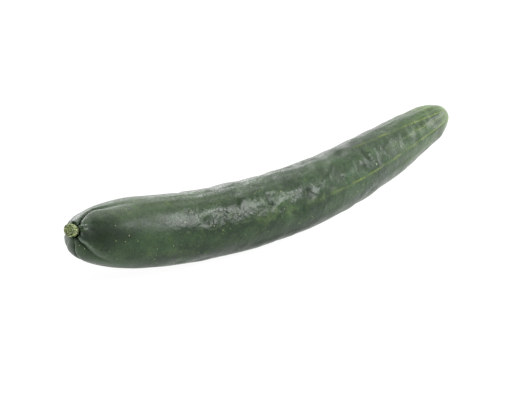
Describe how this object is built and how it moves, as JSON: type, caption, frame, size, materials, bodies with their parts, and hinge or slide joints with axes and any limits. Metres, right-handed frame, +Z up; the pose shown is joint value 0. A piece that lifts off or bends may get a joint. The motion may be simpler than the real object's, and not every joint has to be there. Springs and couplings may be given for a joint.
{
  "type": "cucumber",
  "caption": "Whole slicing cucumber lying on its side, gently curved and tapering, with waxy dark green skin and the short cut stub of its stalk in a puckered hollow.",
  "frame": {"origin": "middle of the bounding box at its foot, on the surface that the cucumber lies on", "axes": "+X along the fruit from the stalk end to the blossom end, +Y towards the inside of the bend, +Z up"},
  "size_m": [0.3525, 0.064, 0.0451],
  "materials": {
    "skin": "satin",
    "stem": "matte"
  },
  "bodies": {
    "root": {"fruit": "skin", "stem_stub": "stem"}
  },
  "joints": []
}
